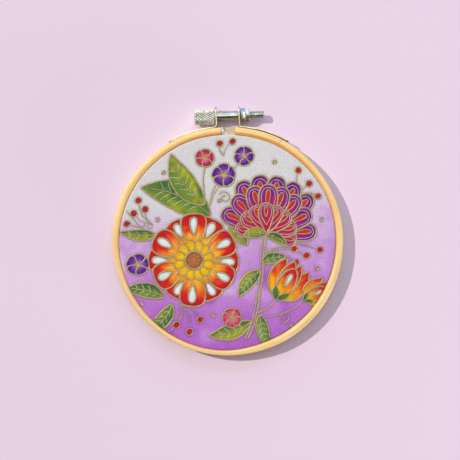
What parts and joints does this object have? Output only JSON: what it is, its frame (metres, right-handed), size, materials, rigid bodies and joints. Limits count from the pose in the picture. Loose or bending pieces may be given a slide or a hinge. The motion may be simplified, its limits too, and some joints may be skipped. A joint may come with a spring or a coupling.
{
  "type": "hoop art, painted cloth in a wooden embroidery hoop",
  "caption": "Round painted cloth stretched flat between two wooden hoop rings, with a knurled clamp screw at the top; it lies on its back, face up.",
  "frame": {"origin": "middle of the footprint, on the surface that the rings' back faces rest on", "axes": "+Z out of the picture face, +Y towards the clamp at the picture's top, +X to the picture's right"},
  "size_m": [0.1082, 0.118, 0.0085],
  "materials": {
    "lacquered_bamboo": "bent bamboo, clear lacquer, satin",
    "plain_bamboo": "bent bamboo, sanded, no lacquer",
    "painted_cotton": "plain-woven cotton, painted by hand with raised resist lines, matte",
    "nickel_plated_strip": "nickel-plated pressed steel strip",
    "nickel_plated_screw": "nickel-plated turned steel, knurled head",
    "zinc_plated_nut": "zinc-plated steel, bluish"
  },
  "bodies": {
    "hoop": {"outer_ring": "lacquered_bamboo", "inner_ring": "plain_bamboo", "cloth": "painted_cotton", "strap_left": "nickel_plated_strip", "strap_right": "nickel_plated_strip", "rivet_left": "nickel_plated_strip", "rivet_right": "nickel_plated_strip", "clamp_nut": "zinc_plated_nut"},
    "screw": {"clamp_screw": "nickel_plated_screw"}
  },
  "joints": [
    {"name": "screw_turn", "type": "hinge", "parent": "hoop", "child": "screw", "pos_m": [-0.00018, 0.05437, 0.00425], "axis": [0.9994, 0.0349, 0], "continuous": true}
  ]
}
